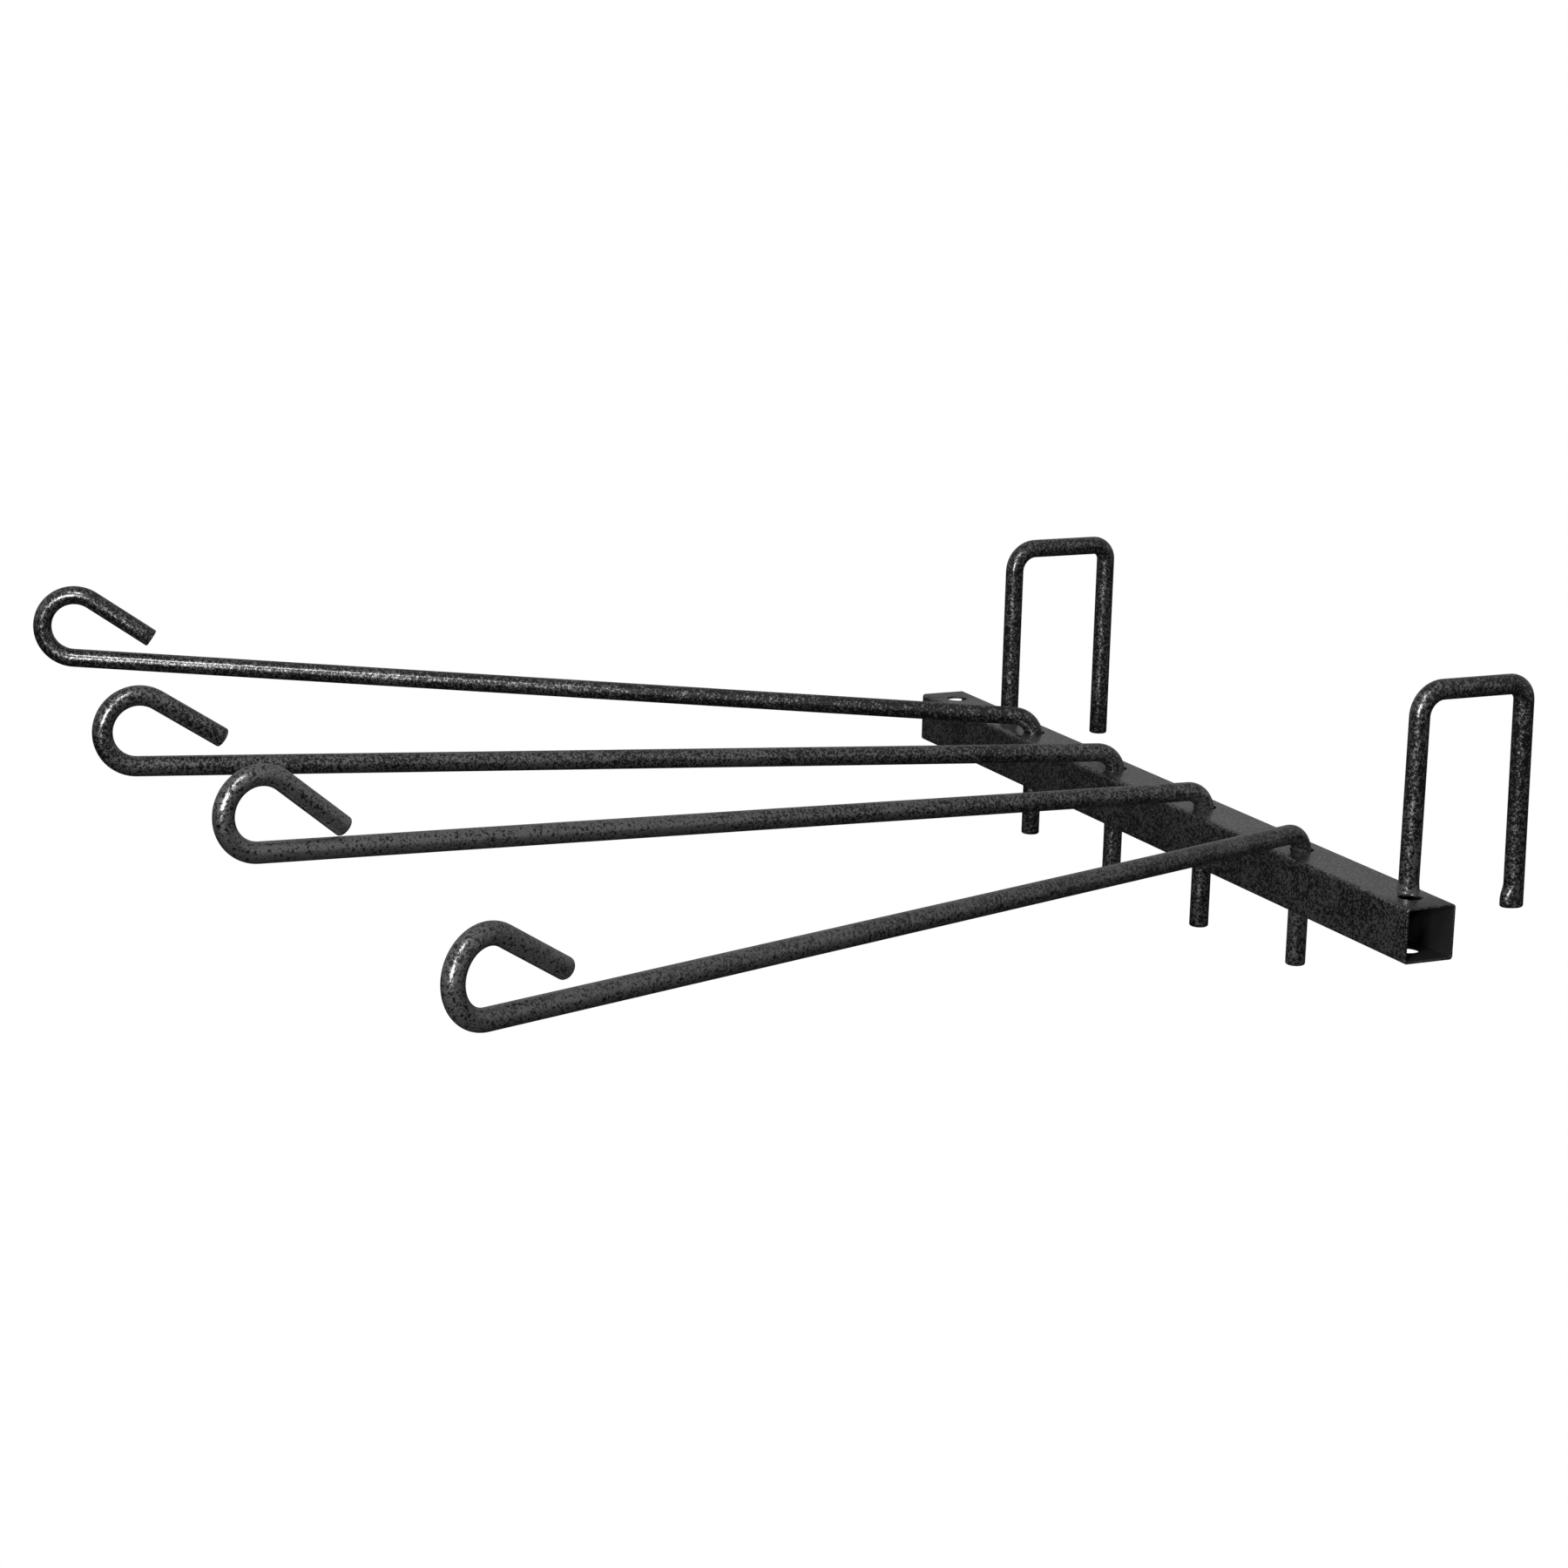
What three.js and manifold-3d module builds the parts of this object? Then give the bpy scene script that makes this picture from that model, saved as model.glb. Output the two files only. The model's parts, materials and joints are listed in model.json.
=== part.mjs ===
// Over-the-wall hook rack: a square steel crossbar, four round-rod swing arms that drop into holes drilled
// through it, and two over-wall hooks that stand on it.
//
// Millimetres. +X along the crossbar, +Y into the wall, +Z up. The origin is the centre of the crossbar's
// back face, the face that rests against the wall. The arms point out to the front, along -Y.
import * as THREE from "three";
import { mergeVertices } from "three/addons/utils/BufferGeometryUtils.js";
import Module from "manifold-3d";

const wasm = await Module();
wasm.setup();

// Crossbar
const TUBE_SIDE = 26;
const TUBE_WALL = 1.3;
const TUBE_CORNER = 1.5;
const TUBE_LENGTH = 482.6;
const END_HOLE_RADIUS = 5.5;
const END_HOLE_INSET = 17.2;

// Round rod that the arms and the hooks are bent from
const ROD_RADIUS = 4.7625;
const CUT_EDGE = 0.8;

// Clearances: the gap left between touching pieces, and the play of an arm's pin in its hole
const TOUCH_GAP = 0.3;
const PIN_PLAY = 0.9;

// Swing arms, from the left end of the crossbar to the right: where each one points at rest, as an angle
// from straight out towards +X, how much its outer end rises, how far its curl turns, in degrees too, and
// how far its pin hangs below the crossbar
const ARM_SPACING = 88.9;
const ARM_REACH = 526;
const ARM_BEND = 11.8;
const CURL_BEND = 16.7;
const CURL_TAIL = 36.6;
const ARMS = [
  { yaw: -19.6, rise: 3.3, curlTurn: 210, pinBelow: 30 },
  { yaw: -2.2, rise: 3, curlTurn: 210, pinBelow: 30 },
  { yaw: 8.1, rise: 3.3, curlTurn: 216, pinBelow: 35 },
  { yaw: 20.9, rise: 1.2, curlTurn: 210, pinBelow: 30.5 },
];

// Over-wall hooks: the wall space is the clear depth from the crossbar's back face to the hanging leg, and
// the setback is how far behind the middle of the crossbar the standing leg's axis is. The left hook stands
// outside the first arm's pivot, and the right hook just inside the right end hole. The right hook's hanging
// leg splays out from the wall by a small angle in degrees.
const WALL_SPACE = 43.5;
const HOOK_HEIGHT = 93.1;
const HOOK_BACK_LEG = 105.6;
const HOOK_FRONT_BEND = 12;
const HOOK_BACK_BEND = 8;
const HOOK_SETBACK = 4.9;
const LEFT_HOOK_FROM_ARM = 38.05;
const RIGHT_HOOK_FROM_END_HOLE = 8.9;
const RIGHT_HOOK_SPLAY = 1.2;

// Facets
const ROD_SIDES = 16;
const BEND_STEP = 15;
const HOLE_SIDES = 24;
const CORNER_SEGMENTS = 4;

const UP = 90;
const TUBE_TOP = TUBE_SIDE / 2;
const TUBE_CENTRE_Y = -TUBE_SIDE / 2;
const PIVOT_HOLE_RADIUS = ROD_RADIUS + PIN_PLAY;
const END_HOLE_X = TUBE_LENGTH / 2 - END_HOLE_INSET;

const powderCoat = { color: 0x1c1c1c, roughness: 0.45, metalness: 0.6 };

function direction(degrees) {
  const angle = THREE.MathUtils.degToRad(degrees);
  return new THREE.Vector3(0, Math.cos(angle), Math.sin(angle));
}

// The centre line of a bent rod in the YZ plane, drawn as a pen would draw it: straight runs and round bends,
// one after the other. Headings are degrees from +Y towards +Z. A section of the rod stands at each station:
// both ends of a straight run, and every BEND_STEP degrees or less round a bend.
class RodLine extends THREE.Curve {
  constructor(y, z, heading) {
    super();
    this.stations = [{ point: new THREE.Vector3(0, y, z), heading }];
  }

  get last() {
    return this.stations[this.stations.length - 1];
  }

  straight(length) {
    const { point, heading } = this.last;
    this.stations.push({ point: point.clone().addScaledVector(direction(heading), length), heading });
    return this;
  }

  // A positive turn goes from +Y towards +Z.
  bend(radius, turn) {
    const { point, heading } = this.last;
    const toCentre = UP * Math.sign(turn);
    const centre = point.clone().addScaledVector(direction(heading + toCentre), radius);
    const steps = Math.ceil(Math.abs(turn) / BEND_STEP);
    for (let step = 1; step <= steps; step++) {
      const turned = heading + (turn * step) / steps;
      const onBend = centre.clone().addScaledVector(direction(turned + toCentre), -radius);
      this.stations.push({ point: onBend, heading: turned });
    }
    return this;
  }

  stationAt(t) {
    return this.stations[Math.round(t * (this.stations.length - 1))];
  }

  getPointAt(t) {
    return this.stationAt(t).point.clone();
  }

  getTangentAt(t) {
    return direction(this.stationAt(t).heading);
  }
}

// A round rod along a RodLine whose first and last runs are CUT_EDGE long: the two cut ends are drawn in
// there, so that their sharp edges are broken.
function bentRod(line) {
  const section = new THREE.Shape().absarc(0, 0, ROD_RADIUS, 0, 2 * Math.PI);
  const geometry = new THREE.ExtrudeGeometry(section, {
    steps: line.stations.length - 1,
    curveSegments: ROD_SIDES / 2,
    extrudePath: line,
  });
  const position = geometry.getAttribute("position");
  const corner = new THREE.Vector3();
  const withinEnd = Math.hypot(ROD_RADIUS, CUT_EDGE / 2);
  for (const end of [line.getPointAt(0), line.getPointAt(1)]) {
    for (let i = 0; i < position.count; i++) {
      corner.fromBufferAttribute(position, i);
      if (corner.distanceTo(end) < withinEnd) {
        corner.lerp(end, CUT_EDGE / ROD_RADIUS);
        position.setXYZ(i, corner.x, corner.y, corner.z);
      }
    }
  }
  return geometry;
}

function solidOf(geometry) {
  const bare = geometry.clone();
  bare.deleteAttribute("normal");
  bare.deleteAttribute("uv");
  const merged = mergeVertices(bare);
  return new wasm.Manifold(
    new wasm.Mesh({
      numProp: 3,
      vertProperties: merged.getAttribute("position").array,
      triVerts: new Uint32Array(merged.index.array),
    }),
  );
}

function geometryOf(solid) {
  const mesh = solid.getMesh();
  const geometry = new THREE.BufferGeometry();
  geometry.setAttribute("position", new THREE.BufferAttribute(mesh.vertProperties, mesh.numProp));
  geometry.setIndex(new THREE.BufferAttribute(mesh.triVerts, 1));
  const faceted = geometry.toNonIndexed();
  faceted.computeVertexNormals();
  return faceted;
}

function namedMesh(name, geometry) {
  const mesh = new THREE.Mesh(geometry, new THREE.MeshStandardMaterial(powderCoat));
  mesh.name = name;
  return mesh;
}

function roundedSquare(shape, side, corner) {
  const straight = side / 2 - corner;
  shape.absarc(straight, straight, corner, 0, Math.PI / 2);
  shape.absarc(-straight, straight, corner, Math.PI / 2, Math.PI);
  shape.absarc(-straight, -straight, corner, Math.PI, 1.5 * Math.PI);
  shape.absarc(straight, -straight, corner, 1.5 * Math.PI, 2 * Math.PI);
  shape.closePath();
  return shape;
}

// Where the arms stand along the crossbar: evenly spaced about its middle.
function armX(index) {
  return (index - (ARMS.length - 1) / 2) * ARM_SPACING;
}

function crossbar() {
  const section = roundedSquare(new THREE.Shape(), TUBE_SIDE, TUBE_CORNER);
  const boreCorner = Math.max(TUBE_CORNER - TUBE_WALL, 0);
  section.holes.push(roundedSquare(new THREE.Path(), TUBE_SIDE - 2 * TUBE_WALL, boreCorner));
  const bar = new THREE.ExtrudeGeometry(section, {
    depth: TUBE_LENGTH,
    curveSegments: CORNER_SEGMENTS,
    bevelEnabled: false,
  });
  bar.translate(0, 0, -TUBE_LENGTH / 2);
  bar.rotateY(Math.PI / 2);
  let solid = solidOf(bar);

  const holes = [
    { x: -END_HOLE_X, radius: END_HOLE_RADIUS },
    { x: END_HOLE_X, radius: END_HOLE_RADIUS },
    ...ARMS.map((arm, index) => ({ x: armX(index), radius: PIVOT_HOLE_RADIUS })),
  ];
  for (const hole of holes) {
    const drill = new THREE.CylinderGeometry(hole.radius, hole.radius, 2 * TUBE_SIDE, HOLE_SIDES);
    drill.rotateX(Math.PI / 2);
    drill.translate(hole.x, 0, 0);
    solid = solid.subtract(solidOf(drill));
  }
  const mesh = namedMesh("crossbar_tube", geometryOf(solid));
  mesh.position.set(0, TUBE_CENTRE_Y, 0);
  return mesh;
}

// A swing arm about its own pivot axis, with the middle of the crossbar at z = 0. The inside of its bend
// rests on the front rim of its hole.
function swingArm({ rise, curlTurn, pinBelow }) {
  const bendInside = ARM_BEND - ROD_RADIUS - TOUCH_GAP;
  const centreToRim = ARM_BEND - PIVOT_HOLE_RADIUS;
  const bendCentreZ = TUBE_TOP - Math.sqrt(bendInside ** 2 - centreToRim ** 2);
  const pinEnd = -TUBE_SIDE / 2 - pinBelow;
  const slope = THREE.MathUtils.degToRad(rise);
  const bendReach = ARM_BEND * (1 - Math.sin(slope));
  const curlReach = CURL_BEND * (1 - Math.sin(slope));
  const line = new RodLine(0, pinEnd, UP)
    .straight(CUT_EDGE)
    .straight(bendCentreZ - pinEnd - CUT_EDGE)
    .bend(ARM_BEND, 90 - rise)
    .straight((ARM_REACH - bendReach - curlReach) / Math.cos(slope))
    .bend(CURL_BEND, -curlTurn)
    .straight(CURL_TAIL - CUT_EDGE)
    .straight(CUT_EDGE);
  return bentRod(line);
}

// An over-wall hook about the foot of its standing leg.
function overWallHook(splay) {
  const width = WALL_SPACE + TUBE_SIDE / 2 - HOOK_SETBACK + ROD_RADIUS;
  const line = new RodLine(0, 0, UP)
    .straight(CUT_EDGE)
    .straight(HOOK_HEIGHT - TOUCH_GAP - HOOK_FRONT_BEND - CUT_EDGE)
    .bend(HOOK_FRONT_BEND, -90)
    .straight(width - HOOK_FRONT_BEND - HOOK_BACK_BEND)
    .bend(HOOK_BACK_BEND, splay - 90)
    .straight(HOOK_BACK_LEG - HOOK_BACK_BEND - CUT_EDGE)
    .straight(CUT_EDGE);
  return bentRod(line);
}

const rack = new THREE.Group();
rack.add(crossbar());

ARMS.forEach((arm, index) => {
  const mesh = namedMesh(`swing_arm_${index + 1}`, swingArm(arm));
  mesh.position.set(armX(index), TUBE_CENTRE_Y, 0);
  mesh.rotation.z = THREE.MathUtils.degToRad(arm.yaw);
  rack.add(mesh);
});

const hooks = [
  { name: "over_wall_hook_left", x: armX(0) - LEFT_HOOK_FROM_ARM, splay: 0 },
  { name: "over_wall_hook_right", x: END_HOLE_X - RIGHT_HOOK_FROM_END_HOLE, splay: RIGHT_HOOK_SPLAY },
];
for (const { name, x, splay } of hooks) {
  const hook = namedMesh(name, overWallHook(splay));
  hook.position.set(x, TUBE_CENTRE_Y + HOOK_SETBACK, TUBE_TOP + TOUCH_GAP);
  rack.add(hook);
}

export default rack;
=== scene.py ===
# Looks of the over-wall hook rack: a square tube crossbar, four swing arms and two over-wall hooks, all in
# black and silver hammertone powder coat. Metres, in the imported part's own frame.
import json
import math

import bmesh
import bpy
from mathutils import Matrix, Vector


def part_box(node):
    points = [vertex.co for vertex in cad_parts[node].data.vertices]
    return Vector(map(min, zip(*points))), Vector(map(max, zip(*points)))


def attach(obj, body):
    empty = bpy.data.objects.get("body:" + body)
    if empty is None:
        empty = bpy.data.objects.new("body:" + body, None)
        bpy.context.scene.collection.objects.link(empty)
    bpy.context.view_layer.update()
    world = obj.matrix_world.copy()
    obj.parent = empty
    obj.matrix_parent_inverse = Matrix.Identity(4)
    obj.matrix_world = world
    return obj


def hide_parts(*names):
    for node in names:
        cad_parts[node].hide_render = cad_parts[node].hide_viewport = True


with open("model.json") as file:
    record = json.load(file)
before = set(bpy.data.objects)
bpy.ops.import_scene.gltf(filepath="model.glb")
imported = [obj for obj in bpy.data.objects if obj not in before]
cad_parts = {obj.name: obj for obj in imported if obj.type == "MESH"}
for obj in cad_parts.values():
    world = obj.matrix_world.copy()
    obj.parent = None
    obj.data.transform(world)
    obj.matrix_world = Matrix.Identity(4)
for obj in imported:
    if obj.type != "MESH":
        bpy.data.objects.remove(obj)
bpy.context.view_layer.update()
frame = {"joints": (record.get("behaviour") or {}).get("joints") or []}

MM = 0.001

# ---------------------------------------------------------------- sizes, as in the CAD model
TUBE_SIDE = 26 * MM
TUBE_WALL = 1.3 * MM
TUBE_CORNER = 1.5 * MM
BORE_CORNER = 0.7 * MM
END_HOLE_RADIUS = 5.5 * MM
END_HOLE_INSET = 17.2 * MM
ROD_RADIUS = 4.7625 * MM
PIN_PLAY = 0.9 * MM
TOUCH_GAP = 0.3 * MM
ARM_REACH = 526 * MM
ARM_BEND = 11.8 * MM
CURL_BEND = 16.7 * MM
CURL_TAIL = 36.6 * MM
ARMS = [   # yaw, rise and turn of the curl in degrees, and how far the pin hangs below the tube
    (-19.6, 3.3, 210, 30 * MM),
    (-2.2, 3.0, 210, 30 * MM),
    (8.1, 3.3, 216, 35 * MM),
    (20.9, 1.2, 210, 30.5 * MM),
]
WALL_SPACE = 43.5 * MM
HOOK_HEIGHT = 93.1 * MM
HOOK_BACK_LEG = 105.6 * MM
HOOK_FRONT_BEND = 12 * MM
HOOK_BACK_BEND = 8 * MM
HOOK_SETBACK = 4.9 * MM
RIGHT_HOOK_SPLAY = 1.2

ROD_SIDES = 40
BEND_STEP = 4.0
CUT_EDGE = 0.9 * MM
CUT_EDGE_RINGS = 4
CAP_RING_SHARE = 0.55
FLARE = 2.0 * MM
FLARE_LENGTH = 11 * MM
FLARE_FULL = 4 * MM
FLARE_SHARPNESS = 1.5

TUBE_TOP = TUBE_SIDE / 2
TUBE_CENTRE_Y = -TUBE_SIDE / 2
PIVOTS = [Vector(j["pos_m"]) for j in frame["joints"]]


# ---------------------------------------------------------------- mesh helpers
def make_object(name, bm, material, body, *replaced):
    mesh = bpy.data.meshes.new(name)
    bmesh.ops.recalc_face_normals(bm, faces=bm.faces)
    bm.to_mesh(mesh)
    bm.free()
    mesh.shade_smooth()
    mesh.materials.append(material)
    piece = bpy.data.objects.new(name, mesh)
    bpy.context.scene.collection.objects.link(piece)
    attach(piece, body)
    if replaced:
        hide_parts(*replaced)
    return piece


def quarter_turn(step, steps):
    """The angle after so many of the steps of a quarter turn, in radians."""
    return 0.5 * math.pi * step / steps


def direction(degrees):
    angle = math.radians(degrees)
    return Vector((0, math.cos(angle), math.sin(angle)))


class RodLine:
    """The centre line of a bent rod in the YZ plane: straight runs and round bends, one after the other.
    Headings are degrees from +Y towards +Z."""

    def __init__(self, y, z, heading):
        self.stations = [(Vector((0, y, z)), heading)]

    def straight(self, length, runs=1):
        point, heading = self.stations[-1]
        for run in range(1, runs + 1):
            self.stations.append((point + direction(heading) * length * run / runs, heading))
        return self

    def bend(self, radius, turn):
        point, heading = self.stations[-1]
        to_centre = math.copysign(90, turn)
        centre = point + direction(heading + to_centre) * radius
        steps = math.ceil(abs(turn) / BEND_STEP)
        for step in range(1, steps + 1):
            turned = heading + turn * step / steps
            self.stations.append((centre - direction(turned + to_centre) * radius, turned))
        return self


def ring_of(bm, centre, heading, radius, swell=0.0):
    """A round section of a rod that lies in the YZ plane. Its side towards -Y swells out."""
    across = Vector((1, 0, 0))
    other = direction(heading + 90)
    ring = []
    for side in range(ROD_SIDES):
        angle = 2 * math.pi * side / ROD_SIDES
        out = (across * math.cos(angle) + other * math.sin(angle)) * radius
        out.y -= swell * max(0.0, -out.y / radius) ** FLARE_SHARPNESS
        ring.append(bm.verts.new(centre + out))
    return ring


def bridge(bm, first, second):
    count = len(first)
    for i in range(count):
        j = (i + 1) % count
        bm.faces.new((first[i], first[j], second[j], second[i]))


def end_cap(bm, ring, centre):
    """Closes a ring with a smaller ring and a fan, so that the flat end shades flat."""
    inner = [bm.verts.new(centre.lerp(v.co, CAP_RING_SHARE)) for v in ring]
    bridge(bm, ring, inner)
    middle = bm.verts.new(centre)
    for i in range(len(inner)):
        bm.faces.new((inner[i], inner[(i + 1) % len(inner)], middle))


def smooth_step(value, low, high):
    t = min(max((value - low) / (high - low), 0.0), 1.0)
    return t * t * (3 - 2 * t)


def rod(line, flare=0.0):
    """A round rod along a line, with the edge of both cut ends rounded over. The far end can flare out
    towards -Y, as a sheared end does."""
    bm = bmesh.new()
    rings = []
    first, heading = line.stations[0]
    last, last_heading = line.stations[-1]
    for k in range(CUT_EDGE_RINGS + 1):
        angle = quarter_turn(k, CUT_EDGE_RINGS)
        centre = first + direction(heading) * CUT_EDGE * (1 - math.cos(angle))
        rings.append(ring_of(bm, centre, heading, ROD_RADIUS - CUT_EDGE + CUT_EDGE * math.sin(angle)))
    for point, turned in line.stations[1:-1]:
        swell = flare * (1 - smooth_step((point - last).length, FLARE_FULL, FLARE_LENGTH))
        rings.append(ring_of(bm, point, turned, ROD_RADIUS, swell))
    for k in range(CUT_EDGE_RINGS, -1, -1):
        angle = quarter_turn(k, CUT_EDGE_RINGS)
        centre = last - direction(last_heading) * CUT_EDGE * (1 - math.cos(angle))
        radius = ROD_RADIUS - CUT_EDGE + CUT_EDGE * math.sin(angle)
        rings.append(ring_of(bm, centre, last_heading, radius, flare))
    for a, b in zip(rings, rings[1:]):
        bridge(bm, a, b)
    end_cap(bm, rings[0], first)
    end_cap(bm, rings[-1], last)
    return bm


# ---------------------------------------------------------------- material
class Nodes:
    """Adds shader nodes to a material and links them."""

    def __init__(self, tree):
        self.tree = tree

    def add(self, kind, **settings):
        node = self.tree.nodes.new(kind)
        for name, value in settings.items():
            setattr(node, name, value)
        return node

    def link(self, source, target):
        self.tree.links.new(source, target)

    def noise(self, vector, scale, detail, roughness=0.5, distortion=0.0):
        node = self.add("ShaderNodeTexNoise")
        node.inputs["Scale"].default_value = scale
        node.inputs["Detail"].default_value = detail
        node.inputs["Roughness"].default_value = roughness
        node.inputs["Distortion"].default_value = distortion
        self.link(vector, node.inputs["Vector"])
        return node.outputs["Fac"]

    def math(self, operation, *values):
        node = self.add("ShaderNodeMath", operation=operation)
        for socket, value in zip(node.inputs, values):
            if isinstance(value, (int, float)):
                socket.default_value = value
            else:
                self.link(value, socket)
        return node.outputs[0]

    def ramp(self, value, low, high, out_low=0.0, out_high=1.0):
        node = self.add("ShaderNodeMapRange", interpolation_type="SMOOTHSTEP")
        limits = {"From Min": low, "From Max": high, "To Min": out_low, "To Max": out_high}
        for name, limit in limits.items():
            node.inputs[name].default_value = limit
        self.link(value, node.inputs["Value"])
        return node.outputs["Result"]

    def mix(self, factor, first, second):
        node = self.add("ShaderNodeMix", data_type="RGBA")
        self.link(factor, node.inputs[0])
        node.inputs[6].default_value = (*first, 1)
        node.inputs[7].default_value = (*second, 1)
        return node.outputs[2]

    def bump(self, height, strength, distance):
        node = self.add("ShaderNodeBump")
        node.inputs["Strength"].default_value = strength
        node.inputs["Distance"].default_value = distance
        self.link(height, node.inputs["Height"])
        return node.outputs["Normal"]


WORM_SCALE = 780
WORM_DETAIL = 1.6
WORM_DISTORTION = 0.9
PATCH_SCALE = 38
PATCH_CONTRAST = 0.20
SILVER_LEVEL = 0.520
SPECK_EDGE = 0.03
SMOOTH_EDGE = 0.10
FLAKE_SCALE = 2600
FLAKE_LEVELS = (0.30, 0.70)
DULLEST_FLAKE = 0.50
DIMPLE_SCALE = 420
DIMPLE_DISTORTION = 0.3
WORM_RELIEF = 0.6
RELIEF_STRENGTH, RELIEF_DEPTH = 0.45, 0.25 * MM
RIPPLE_STRENGTH, RIPPLE_DEPTH = 0.35, 0.2 * MM
BLACK = (0.005, 0.005, 0.0052)
SILVER = (0.34, 0.34, 0.345)
SILVER_METALLIC = 0.85
BLACK_ROUGHNESS = 0.28
SILVER_ROUGHNESS = 0.34
GLOSS = 0.6
GLOSS_ROUGHNESS = 0.12
OUTER_ENDS_Y = -420 * MM
INNER_ENDS_Y = -120 * MM
# silver left where the bore's painted shade and the darker tube ends are
DARKENED_SILVER = 0.06
# the top of the tube is made darker and duller between these distances from the middle, by END_SHADE at most
END_SHADE_FROM = 212 * MM
END_SHADE_TO = 232 * MM
END_SHADE = 0.75
# the bore's painted shade fades out between these distances
BORE_SHADE = (0.3 * MM, 0.9 * MM)   # outwards from the bore's wall
TOP_SHADE = (-0.8 * MM, -0.1 * MM)   # upwards to the tube's top


def hammertone(name, silver_share=0.0, smoothness=0.0, outer_share=0.0, darkening=None):
    """Black powder coat with silver flakes that have drawn together into specks and worms about 1 mm wide,
    under a clear gloss. A higher silver_share leaves only dark specks, and smoothness blurs the two together.
    outer_share is added to the silver share towards the outer ends of the arms.
    The function given last, called with (nodes, axes), says where the coat is made black and dull; for the
    tube that is painted shade in the bore, and a darker top next to the cut ends."""
    material = bpy.data.materials.new(name)
    material.use_nodes = True
    n = Nodes(material.node_tree)
    shader = material.node_tree.nodes["Principled BSDF"]
    place = n.add("ShaderNodeTexCoord").outputs["Object"]

    worms = n.noise(place, WORM_SCALE, WORM_DETAIL, distortion=WORM_DISTORTION)
    patches = n.noise(place, PATCH_SCALE, 2.0)
    level = n.math("MULTIPLY_ADD", n.math("SUBTRACT", patches, 0.5), PATCH_CONTRAST, worms)
    axes = n.add("ShaderNodeSeparateXYZ")
    n.link(place, axes.inputs[0])
    outer = n.ramp(axes.outputs["Y"], OUTER_ENDS_Y, INNER_ENDS_Y, outer_share, 0.0)
    level = n.math("ADD", level, outer)
    spread = SPECK_EDGE + SMOOTH_EDGE * smoothness
    middle = SILVER_LEVEL - silver_share
    silver = n.ramp(level, middle - spread, middle + spread)
    shader.inputs["Coat Weight"].default_value = GLOSS
    if darkening:
        # painted shade in the bore, and the darker tube ends: the masked places lose their silver and gloss
        darkened = darkening(n, axes)
        undarkened = n.math("SUBTRACT", 1.0, darkened)
        silver = n.math("MULTIPLY_ADD", darkened, DARKENED_SILVER, n.math("MULTIPLY", silver, undarkened))
        n.link(n.math("MULTIPLY", undarkened, GLOSS), shader.inputs["Coat Weight"])
    flakes = n.noise(place, FLAKE_SCALE, 1.0)
    bright = n.math("MULTIPLY", silver, n.ramp(flakes, *FLAKE_LEVELS, DULLEST_FLAKE, 1.0))
    n.link(n.mix(bright, BLACK, SILVER), shader.inputs["Base Color"])
    n.link(n.ramp(silver, 0.0, 1.0, 0.0, SILVER_METALLIC), shader.inputs["Metallic"])
    n.link(n.ramp(silver, 0.0, 1.0, BLACK_ROUGHNESS, SILVER_ROUGHNESS), shader.inputs["Roughness"])

    dimples = n.noise(place, DIMPLE_SCALE, 2.0, distortion=DIMPLE_DISTORTION)
    relief = n.math("MULTIPLY_ADD", worms, WORM_RELIEF, dimples)
    n.link(n.bump(relief, RELIEF_STRENGTH, RELIEF_DEPTH), shader.inputs["Normal"])
    shader.inputs["Coat Roughness"].default_value = GLOSS_ROUGHNESS
    n.link(n.bump(dimples, RIPPLE_STRENGTH, RIPPLE_DEPTH), shader.inputs["Coat Normal"])
    return material


def bore_shade_and_dark_ends(n, axes):
    """Painted shade: the bore is made nearly black and dull. The top of the tube next to its cut ends is made
    darker and duller as well.
    """
    across = n.math("ABSOLUTE", n.math("SUBTRACT", axes.outputs["Y"], TUBE_CENTRE_Y))
    height = n.math("ABSOLUTE", axes.outputs["Z"])
    bore = TUBE_SIDE / 2 - TUBE_WALL
    inside = n.ramp(n.math("MAXIMUM", across, height), *(bore + out for out in BORE_SHADE), 1.0, 0.0)
    # darker, duller top next to the cut ends
    end = n.ramp(n.math("ABSOLUTE", axes.outputs["X"]), END_SHADE_FROM, END_SHADE_TO, 0.0, END_SHADE)
    on_top = n.ramp(axes.outputs["Z"], *(TUBE_TOP + above for above in TOP_SHADE))
    return n.math("MAXIMUM", inside, n.math("MULTIPLY", end, on_top))


# ---------------------------------------------------------------- crossbar tube
FLAT_STEPS = 12
CORNER_STEPS = 6
HOLE_PATCH = 8.0 * MM
RIM_STEPS = 4
RIM = 0.35 * MM
RIM_APRON = 1.6   # rims' widths from the hole's edge to where the flat wall's mesh starts
END_EDGE = 0.35 * MM
END_STEPS = 3
SIDE_STEPS = FLAT_STEPS + CORNER_STEPS
TOP, BOTTOM = 0, 2


def square_ring(side, corner):
    """The YZ points of a rounded square. Each side has FLAT_STEPS steps and each corner CORNER_STEPS; the top
    side comes first, from -Y to +Y."""
    flat = side / 2 - corner
    points = []
    for quarter in range(4):
        turn = Matrix.Rotation(-quarter * math.pi / 2, 2)
        for i in range(FLAT_STEPS + 1):
            points.append(turn @ Vector((-flat + 2 * flat * i / FLAT_STEPS, side / 2)))
        for i in range(1, CORNER_STEPS):
            angle = math.pi / 2 - quarter_turn(i, CORNER_STEPS)
            outwards = Vector((math.cos(angle), math.sin(angle)))
            points.append(turn @ (Vector((flat, flat)) + corner * outwards))
    return points


def holes_along(length):
    end = length / 2 - END_HOLE_INSET
    holes = [(-end, END_HOLE_RADIUS)]
    holes += [(pivot.x, ROD_RADIUS + PIN_PLAY) for pivot in PIVOTS]
    holes.append((end, END_HOLE_RADIUS))
    return holes


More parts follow.
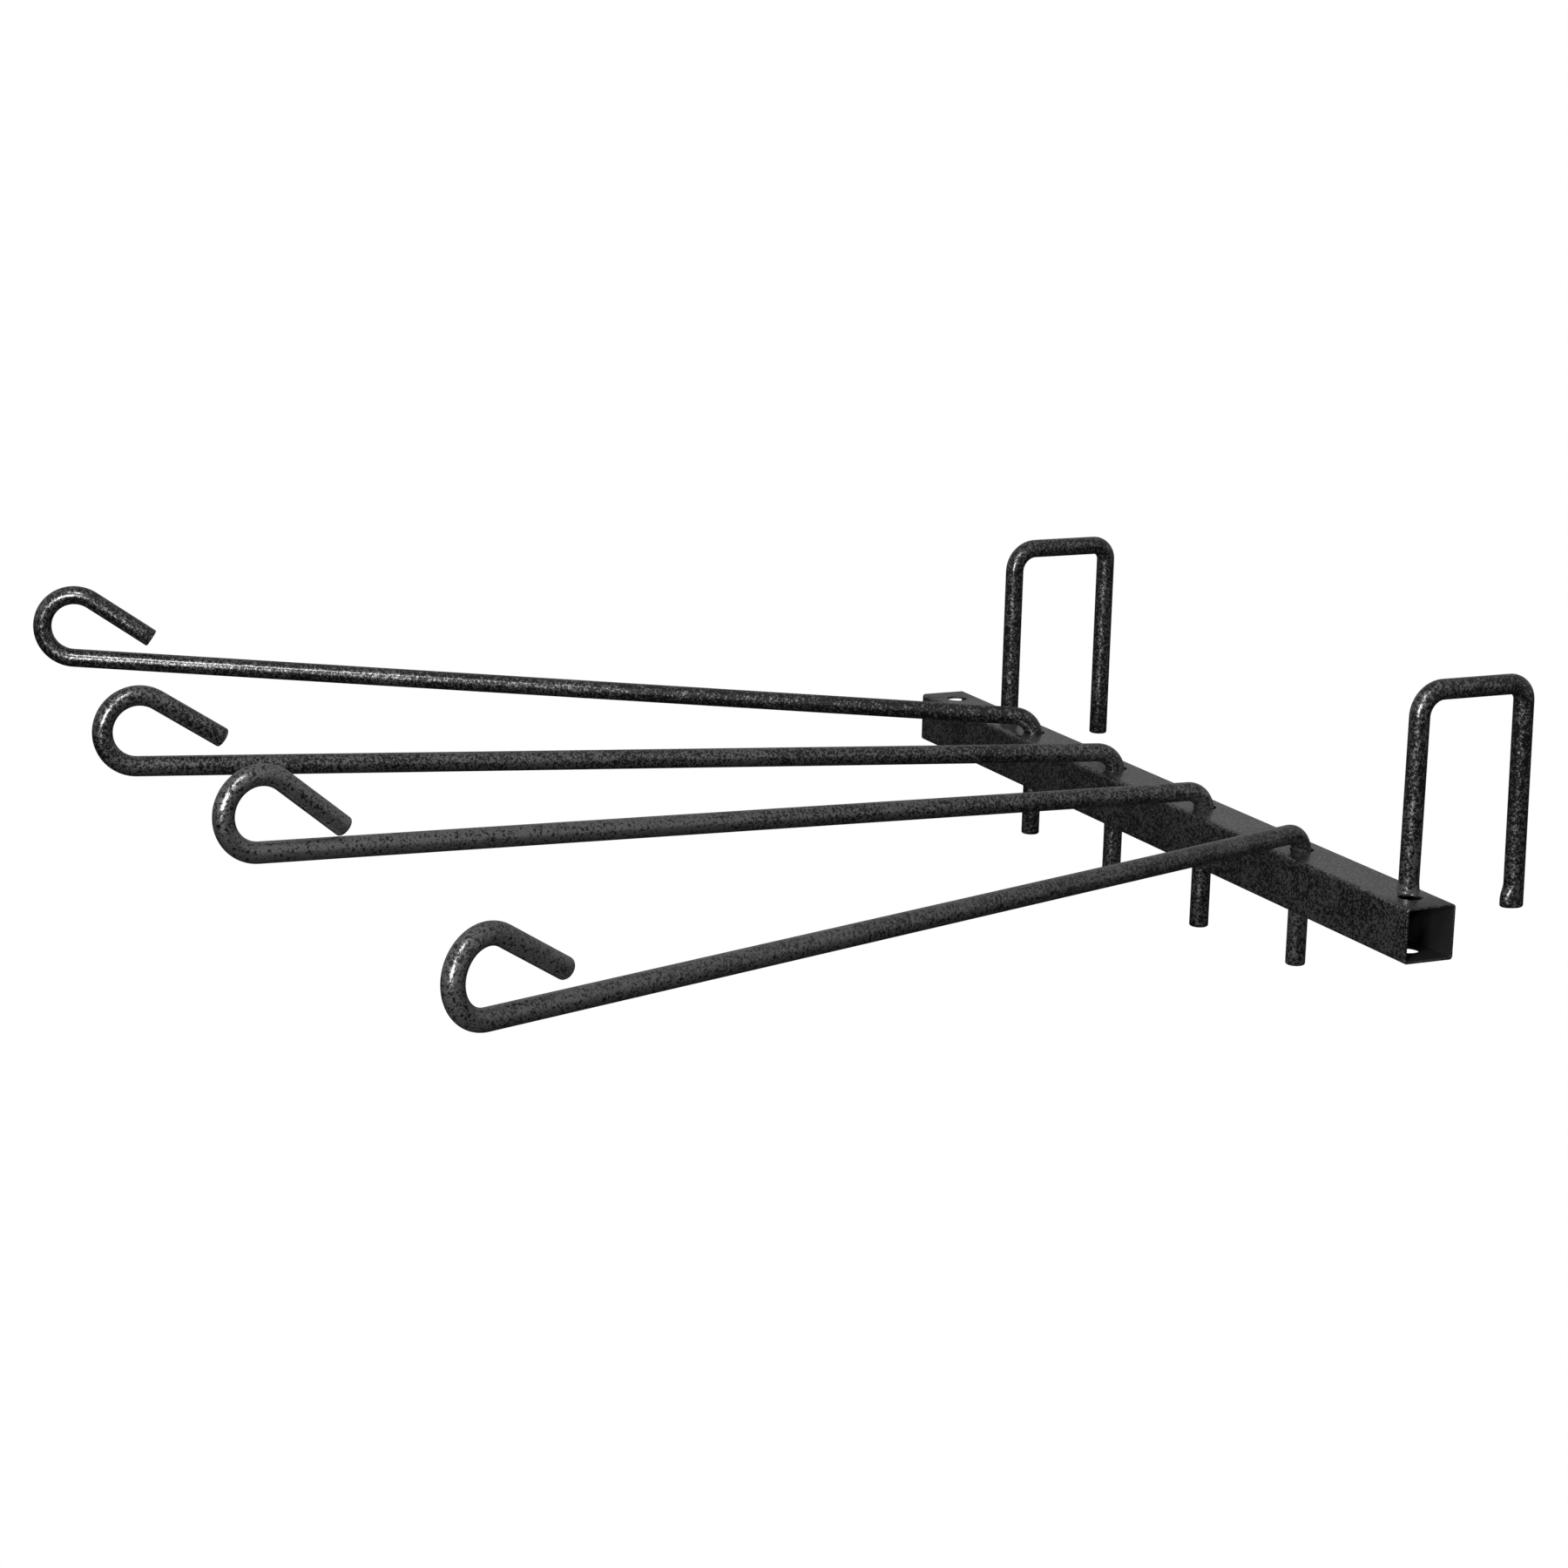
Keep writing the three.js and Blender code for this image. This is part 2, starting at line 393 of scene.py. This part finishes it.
def patch_border(rings, start, side):
    """The points round the square patch that a hole is cut in. It starts at ring number start."""
    base = side * SIDE_STEPS
    low = [rings[start + i][base] for i in range(FLAT_STEPS)]
    right = [rings[start + FLAT_STEPS][base + i] for i in range(FLAT_STEPS)]
    high = [rings[start + FLAT_STEPS - i][base + FLAT_STEPS] for i in range(FLAT_STEPS)]
    left = [rings[start][base + FLAT_STEPS - i] for i in range(FLAT_STEPS)]
    return low + right + high + left


def circle_facing(bm, border, hole_x, radius, z):
    """A circle about a hole's axis, with one point towards each point of the border."""
    circle = []
    for v in border:
        away = Vector((v.co.x - hole_x, v.co.y - TUBE_CENTRE_Y)).normalized() * radius
        circle.append(bm.verts.new((hole_x + away.x, TUBE_CENTRE_Y + away.y, z)))
    return circle


def tube_ring(bm, x, side, corner):
    return [bm.verts.new((x, TUBE_CENTRE_Y + p.x, p.y)) for p in square_ring(side, corner)]


def tube_end(bm, outer_ring, inner_ring, half, sign):
    """The outer edge rolls over to the end face, and the face rolls into the bore."""
    rolls = [(k, TUBE_SIDE, TUBE_CORNER, -1) for k in range(1, END_STEPS + 1)]
    rolls += [(k, TUBE_SIDE - 2 * TUBE_WALL, BORE_CORNER, 1) for k in range(END_STEPS, 0, -1)]
    previous = outer_ring
    for k, side, corner, outwards in rolls:
        angle = quarter_turn(k, END_STEPS)
        inset = outwards * END_EDGE * (1 - math.cos(angle))
        x = sign * (half + END_EDGE * math.sin(angle))
        current = tube_ring(bm, x, side + 2 * inset, corner + inset)
        bridge(bm, previous, current)
        previous = current
    bridge(bm, previous, inner_ring)


def tube_hole(bm, outside, inside, hole_x, radius, z_out, z_in):
    """A hole through one wall, with both of its rims rounded over."""
    up = math.copysign(1, z_out)
    circles = [(radius + RIM_APRON * RIM, z_out), (radius + RIM, z_out)]
    for k in range(1, RIM_STEPS + 1):
        angle = quarter_turn(k, RIM_STEPS)
        circles.append((radius + RIM * (1 - math.sin(angle)), z_out - up * RIM * (1 - math.cos(angle))))
    for k in range(RIM_STEPS, -1, -1):
        angle = quarter_turn(k, RIM_STEPS)
        circles.append((radius + RIM * (1 - math.sin(angle)), z_in + up * RIM * (1 - math.cos(angle))))
    previous = outside
    for circle_radius, z in circles:
        current = circle_facing(bm, outside, hole_x, circle_radius, z)
        bridge(bm, previous, current)
        previous = current
    bridge(bm, previous, inside)


def tube(length):
    bm = bmesh.new()
    bore = TUBE_SIDE - 2 * TUBE_WALL
    holes = holes_along(length)
    half = length / 2 - END_EDGE
    stations = [-half]
    for x, _ in holes:
        stations += [x - HOLE_PATCH + 2 * HOLE_PATCH * i / FLAT_STEPS for i in range(FLAT_STEPS + 1)]
    stations.append(half)
    outer = [tube_ring(bm, x, TUBE_SIDE, TUBE_CORNER) for x in stations]
    inner = [tube_ring(bm, x, bore, BORE_CORNER) for x in stations]

    patch_starts = [1 + number * (FLAT_STEPS + 1) for number in range(len(holes))]
    patch_stations = {start + i for start in patch_starts for i in range(FLAT_STEPS)}
    count = 4 * SIDE_STEPS
    for rings in (outer, inner):
        for k in range(len(stations) - 1):
            for i in range(count):
                side, along = divmod(i, SIDE_STEPS)
                if k in patch_stations and side in (TOP, BOTTOM) and along < FLAT_STEPS:
                    continue
                j = (i + 1) % count
                bm.faces.new((rings[k][i], rings[k][j], rings[k + 1][j], rings[k + 1][i]))

    tube_end(bm, outer[0], inner[0], half, -1)
    tube_end(bm, outer[-1], inner[-1], half, 1)
    for start, (hole_x, radius) in zip(patch_starts, holes):
        for side, up in ((TOP, 1), (BOTTOM, -1)):
            outside, inside = patch_border(outer, start, side), patch_border(inner, start, side)
            tube_hole(bm, outside, inside, hole_x, radius, up * TUBE_SIDE / 2, up * bore / 2)
    return bm


TUBE_SILVER = -0.015
tube_low, tube_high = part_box("crossbar_tube")
# the tube's coat carries painted shade in its bore
tube_coat = hammertone("tube_hammertone", TUBE_SILVER, darkening=bore_shade_and_dark_ends)
make_object("crossbar_tube_coated", tube(tube_high.x - tube_low.x), tube_coat, "crossbar", "crossbar_tube")


# ---------------------------------------------------------------- swing arms
def swing_arm(rise, curl_turn, pin_below):
    bend_inside = ARM_BEND - ROD_RADIUS - TOUCH_GAP
    centre_to_rim = ARM_BEND - (ROD_RADIUS + PIN_PLAY)
    bend_centre_z = TUBE_TOP - math.sqrt(bend_inside ** 2 - centre_to_rim ** 2)
    pin_end = -TUBE_SIDE / 2 - pin_below
    slope = math.radians(rise)
    bend_reach = ARM_BEND * (1 - math.sin(slope))
    curl_reach = CURL_BEND * (1 - math.sin(slope))
    line = RodLine(0, pin_end, 90)
    line.straight(bend_centre_z - pin_end, 4)
    line.bend(ARM_BEND, 90 - rise)
    line.straight((ARM_REACH - bend_reach - curl_reach) / math.cos(slope), 24)
    line.bend(CURL_BEND, -curl_turn)
    line.straight(CURL_TAIL, 3)
    return line


ARM_COATS = [   # silver share, smoothness and outer share of each arm's coat
    (-0.06, 0.0, 0.03),
    (-0.01, 0.0, 0.01),
    (0.0, 0.0, 0.08),
    (-0.07, 1.5, 0.05),
]
for number, (arm, arm_coating, pivot) in enumerate(zip(ARMS, ARM_COATS, PIVOTS), 1):
    yaw, rise, curl_turn, pin_below = arm
    arm_mesh = rod(swing_arm(rise, curl_turn, pin_below))
    place = Matrix.Translation((pivot.x, TUBE_CENTRE_Y, 0)) @ Matrix.Rotation(math.radians(yaw), 4, "Z")
    arm_mesh.transform(place)
    arm_coat = hammertone(f"arm_{number}_hammertone", *arm_coating)
    make_object(f"swing_arm_{number}_coated", arm_mesh, arm_coat, f"arm_{number}", f"swing_arm_{number}")


# ---------------------------------------------------------------- over-wall hooks
def over_wall_hook(splay):
    width = WALL_SPACE + TUBE_SIDE / 2 - HOOK_SETBACK + ROD_RADIUS
    line = RodLine(0, 0, 90)
    line.straight(HOOK_HEIGHT - TOUCH_GAP - HOOK_FRONT_BEND, 8)
    line.bend(HOOK_FRONT_BEND, -90)
    line.straight(width - HOOK_FRONT_BEND - HOOK_BACK_BEND, 4)
    line.bend(HOOK_BACK_BEND, splay - 90)
    line.straight(HOOK_BACK_LEG - HOOK_BACK_BEND, 48)
    return line


WELD_STEPS = 64
WELD_RINGS = 8
WELD_SPREAD = 0.7 * MM
WELD_HEIGHT = 5.5 * MM
WELD_INTO_ROD = 0.4 * MM
WELD_TOE_INTO_ROD = 0.05 * MM
WELD_SUNK = 0.1 * MM
WELD_HOLLOW = 0.8
WELD_NARROWING = 0.8


def weld_spread(angle, away_from):
    """How far the bead reaches out over the tube. Its edge wanders in waves."""
    spread = WELD_SPREAD * (1 + 0.10 * math.sin(7 * angle + 1.3) + 0.06 * math.sin(13 * angle))
    if away_from is None:
        return spread
    facing = max(0.0, math.cos(angle - math.radians(away_from)))
    return spread * (1 - WELD_NARROWING * facing ** 3)


def weld_height(angle):
    return WELD_HEIGHT * (1 + 0.15 * math.cos(angle - 2.4) + 0.05 * math.sin(7 * angle))


def weld_bead(away_from=None):
    """A low weld bead round the foot of a hook, about the foot's own place on the tube. It narrows in the
    direction away_from, in degrees from +X towards +Y, where a hole is near."""
    # each ring's depth in the rod, share of the spread, depth in the tube and share of the height
    profile = [(WELD_INTO_ROD, 0, WELD_SUNK, 0), (0, 1, WELD_SUNK, 0)]
    for k in range(WELD_RINGS + 1):
        turn = quarter_turn(k, WELD_RINGS)
        out, rise = (1 - math.sin(turn)) ** WELD_HOLLOW, (1 - math.cos(turn)) ** WELD_HOLLOW
        profile.append((WELD_TOE_INTO_ROD, out, 0, rise))
    profile.append((WELD_INTO_ROD, 0, 0, 1))

    bm = bmesh.new()
    rings = []
    for in_rod, out, sunk, rise in profile:
        ring = []
        for i in range(WELD_STEPS):
            angle = 2 * math.pi * i / WELD_STEPS
            radius = ROD_RADIUS - in_rod + out * weld_spread(angle, away_from)
            z = rise * weld_height(angle) - sunk
            ring.append(bm.verts.new((radius * math.cos(angle), radius * math.sin(angle), z)))
        rings.append(ring)
    for a, b in zip(rings, rings[1:] + rings[:1]):
        bridge(bm, a, b)
    return bm


HOOK_SILVER = -0.045
WELD_SMOOTHNESS = 2.5
hook_coat = hammertone("hook_hammertone", HOOK_SILVER)
weld_coat = hammertone("weld_hammertone", smoothness=WELD_SMOOTHNESS)
for side, splay, flare in (("left", 0, 0), ("right", RIGHT_HOOK_SPLAY, FLARE)):
    low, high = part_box(f"over_wall_hook_{side}")
    foot = Vector(((low.x + high.x) / 2, TUBE_CENTRE_Y + HOOK_SETBACK, TUBE_TOP))
    hook_mesh = rod(over_wall_hook(splay), flare)
    hook_mesh.transform(Matrix.Translation(foot + Vector((0, 0, TOUCH_GAP))))
    make_object(f"over_wall_hook_{side}_coated", hook_mesh, hook_coat, "crossbar", f"over_wall_hook_{side}")

    to_hole = Vector((math.copysign(tube_high.x - END_HOLE_INSET, foot.x), TUBE_CENTRE_Y)) - foot.xy
    near = to_hole.length < END_HOLE_RADIUS + 2 * ROD_RADIUS
    bead = weld_bead(math.degrees(math.atan2(to_hole.y, to_hole.x)) if near else None)
    bead.transform(Matrix.Translation(foot))
    make_object(f"weld_bead_{side}", bead, weld_coat, "crossbar")


# ---------------------------------------------------------------- stage, light and camera
CAMERA_AT = Vector((1.5415, -0.9361, 0.4371))
CAMERA_AZIMUTH = 65.161
CAMERA_ELEVATION = 13.449
CAMERA_ROLL = 1.389
CAMERA_LENS = 83.2
SENSOR_WIDTH = 36
FLOOR_Z = -0.60
STUDIO_RADIUS = 20
FAR_CLIP = 50

azimuth, elevation, roll = (math.radians(a) for a in (CAMERA_AZIMUTH, CAMERA_ELEVATION, CAMERA_ROLL))
right = Vector((math.cos(azimuth), math.sin(azimuth), 0))
level_back = Vector((math.sin(azimuth), -math.cos(azimuth), 0))
back = level_back * math.cos(elevation) + Vector((0, 0, math.sin(elevation)))
up = back.cross(right)
rolled_right = right * math.cos(roll) + up * math.sin(roll)
rolled_up = up * math.cos(roll) - right * math.sin(roll)
turned = Matrix((rolled_right, rolled_up, back)).transposed().to_4x4()
camera_data = bpy.data.cameras.new("camera")
camera_data.lens = CAMERA_LENS
camera_data.sensor_width = SENSOR_WIDTH
camera_data.dof.use_dof = False
camera_data.clip_end = FAR_CLIP
camera = bpy.data.objects.new("camera", camera_data)
camera.matrix_world = Matrix.Translation(CAMERA_AT) @ turned
bpy.context.scene.collection.objects.link(camera)
bpy.context.scene.camera = camera


def white(name, colour):
    """A plain, evenly lit studio surface."""
    material = bpy.data.materials.new(name)
    material.use_nodes = True
    shader = material.node_tree.nodes["Principled BSDF"]
    shader.inputs["Base Color"].default_value = (0, 0, 0, 1)
    shader.inputs["Specular IOR Level"].default_value = 0
    shader.inputs["Emission Color"].default_value = (*colour, 1)
    shader.inputs["Emission Strength"].default_value = 1
    return material


def stage_object(name, bm, material):
    """Part of the studio. Only the camera sees it, so that it throws no light up onto the rack."""
    mesh = bpy.data.meshes.new(name)
    bm.to_mesh(mesh)
    bm.free()
    mesh.materials.append(material)
    piece = bpy.data.objects.new(name, mesh)
    bpy.context.scene.collection.objects.link(piece)
    for ray in ("diffuse", "glossy", "transmission", "volume_scatter", "shadow"):
        setattr(piece, f"visible_{ray}", False)
    return piece


pale = white("studio_white", (1.0, 1.0, 1.0))
floor_bm = bmesh.new()
bmesh.ops.create_circle(floor_bm, cap_ends=True, segments=64, radius=STUDIO_RADIUS)
stage_object("floor", floor_bm, pale).location = (0, 0, FLOOR_Z)
backdrop_bm = bmesh.new()
bmesh.ops.create_uvsphere(backdrop_bm, u_segments=64, v_segments=32, radius=STUDIO_RADIUS)
stage_object("backdrop", backdrop_bm, pale)

GLOW_BETWEEN = (-0.25, 0.15)   # the heights on the unit sky where the glow starts and stops growing
GLOW = (0.016, 0.24)
world = bpy.data.worlds.new("studio")
bpy.context.scene.world = world
world.use_nodes = True
w = Nodes(world.node_tree)
sky = w.add("ShaderNodeTexCoord").outputs["Generated"]
sky_axes = w.add("ShaderNodeSeparateXYZ")
w.link(sky, sky_axes.inputs[0])
glow = w.ramp(sky_axes.outputs["Z"], *GLOW_BETWEEN, *GLOW)
background = world.node_tree.nodes["Background"]
w.link(glow, background.inputs["Color"])
background.inputs["Strength"].default_value = 1.0

MIDDLE = Vector((0.1, -0.25, 0.03))


def softbox(name, azimuth, elevation, distance, size, power):
    """A soft rectangular light that faces the middle of the rack. Azimuth is from the front towards +X."""
    a, e = math.radians(azimuth), math.radians(elevation)
    away = Vector((math.sin(a) * math.cos(e), -math.cos(a) * math.cos(e), math.sin(e)))
    data = bpy.data.lights.new(name, "AREA")
    data.shape = "RECTANGLE"
    data.size, data.size_y = size
    data.energy = power
    light = bpy.data.objects.new(name, data)
    light.location = MIDDLE + away * distance
    light.rotation_euler = away.to_track_quat("Z", "Y").to_euler()
    bpy.context.scene.collection.objects.link(light)
    return light


softbox("softbox_left", 47, 12, 1.8, (0.40, 0.60), 21)
softbox("softbox_top", 53, 49, 1.8, (0.40, 0.30), 9)

view = bpy.context.scene.view_settings
view.view_transform = "Standard"
view.look = "None"
